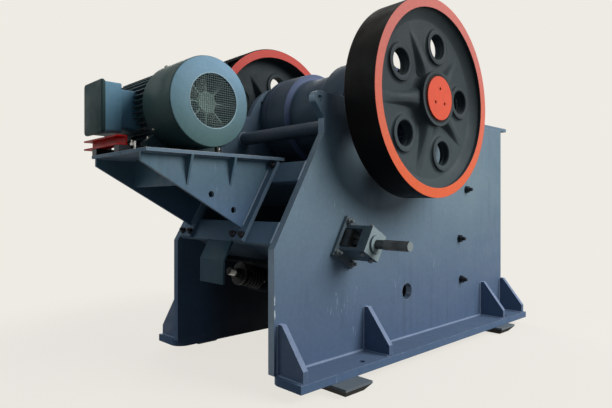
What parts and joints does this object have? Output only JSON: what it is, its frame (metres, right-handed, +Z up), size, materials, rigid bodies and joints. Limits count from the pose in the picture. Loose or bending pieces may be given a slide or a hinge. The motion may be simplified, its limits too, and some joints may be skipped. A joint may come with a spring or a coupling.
{
  "type": "jaw crusher",
  "caption": "Single-toggle jaw crusher with plate frame, flywheels on an eccentric shaft, toothed jaws, wedge adjusters and a belt-driven motor on a rear bracket.",
  "frame": {"origin": "on the floor, under the middle of the eccentric shaft, which is also the middle of the plan outline", "axes": "+Z up, +X from the motor end to the feed and the fixed jaw, +Y towards the belt drive side"},
  "size_m": [4.432, 2.61, 3.0489],
  "materials": {
    "frame_paint": "satin slate blue-grey paint",
    "wheel_paint": "satin charcoal paint",
    "red_paint": "satin orange-red paint",
    "motor_paint": "satin teal-grey paint",
    "wear_steel": "raw cast manganese steel",
    "bare_steel": "bare machined steel",
    "pad_rubber": "matt black rubber",
    "belt_rubber": "matt black rubber"
  },
  "bodies": {
    "frame": {"near_side_plate": "frame_paint", "far_side_plate": "frame_paint", "near_base_flange": "frame_paint", "far_base_flange": "frame_paint", "near_gussets": "frame_paint", "far_gussets": "frame_paint", "machine_pads": "pad_rubber", "front_wall": "frame_paint", "front_wall_ribs": "frame_paint", "front_cap_flange": "frame_paint", "fixed_jaw_plate": "wear_steel", "near_cheek_plate": "wear_steel", "far_cheek_plate": "wear_steel", "near_bearing_housing": "frame_paint", "far_bearing_housing": "frame_paint", "upper_rear_beam": "frame_paint", "lower_rear_beam": "frame_paint", "thrust_wall": "frame_paint", "beam_guides": "frame_paint", "cross_tube": "frame_paint", "pull_rod_guard": "frame_paint", "pull_rod_bracket": "frame_paint", "pull_rod_spring": "bare_steel", "near_wedge_bracket": "frame_paint", "far_wedge_bracket": "frame_paint", "motor_bracket_plates": "frame_paint", "bracket_feet": "frame_paint", "motor_plate": "frame_paint", "motor_rails": "frame_paint", "motor_adjuster": "red_paint", "motor_body": "motor_paint", "fan_cowl": "motor_paint", "terminal_box": "motor_paint", "drive_belts": "belt_rubber"},
    "rotor": {"eccentric_shaft": "bare_steel", "near_flywheel": "wheel_paint", "far_flywheel": "wheel_paint", "near_hub_cap": "red_paint", "far_hub_cap": "red_paint"},
    "swing_jaw": {"moving_jaw": "frame_paint", "moving_jaw_plate": "wear_steel", "pull_rod": "bare_steel"},
    "motor_rotor": {"motor_shaft": "bare_steel", "motor_fan": "motor_paint", "motor_pulley": "wheel_paint"},
    "near_wedge_set": {"near_wedge": "bare_steel"},
    "far_wedge_set": {"far_wedge": "bare_steel"},
    "toggle_set": {"toggle_beam": "frame_paint", "toggle_plate": "wear_steel"}
  },
  "joints": [
    {"name": "flywheel_spin", "type": "hinge", "parent": "frame", "child": "rotor", "pos_m": [0, 0, 2.22], "axis": [0, 1, 0], "continuous": true},
    {"name": "jaw_on_eccentric", "type": "hinge", "parent": "rotor", "child": "swing_jaw", "pos_m": [0, 0, 2.205], "axis": [0, 1, 0], "continuous": true},
    {"name": "motor_spin", "type": "hinge", "parent": "frame", "child": "motor_rotor", "pos_m": [-1.656, 0, 2.09], "axis": [0, 1, 0], "continuous": true},
    {"name": "near_wedge_slide", "type": "slide", "parent": "frame", "child": "near_wedge_set", "axis": [0, 1, 0], "range_m": [-0.06, 0.06]},
    {"name": "far_wedge_slide", "type": "slide", "parent": "frame", "child": "far_wedge_set", "axis": [0, -1, 0], "range_m": [-0.06, 0.06]},
    {"name": "toggle_slide", "type": "slide", "parent": "frame", "child": "toggle_set", "axis": [0.866, 0, -0.5], "range_m": [-0.0085, 0.0085]}
  ],
  "couplings": [
    {"joint": "jaw_on_eccentric", "follows": "flywheel_spin", "ratio": -1},
    {"joint": "motor_spin", "follows": "flywheel_spin", "ratio": 3.9975},
    {"joint": "far_wedge_slide", "follows": "near_wedge_slide", "ratio": 1},
    {"joint": "toggle_slide", "follows": "near_wedge_slide", "ratio": 0.14054}
  ]
}
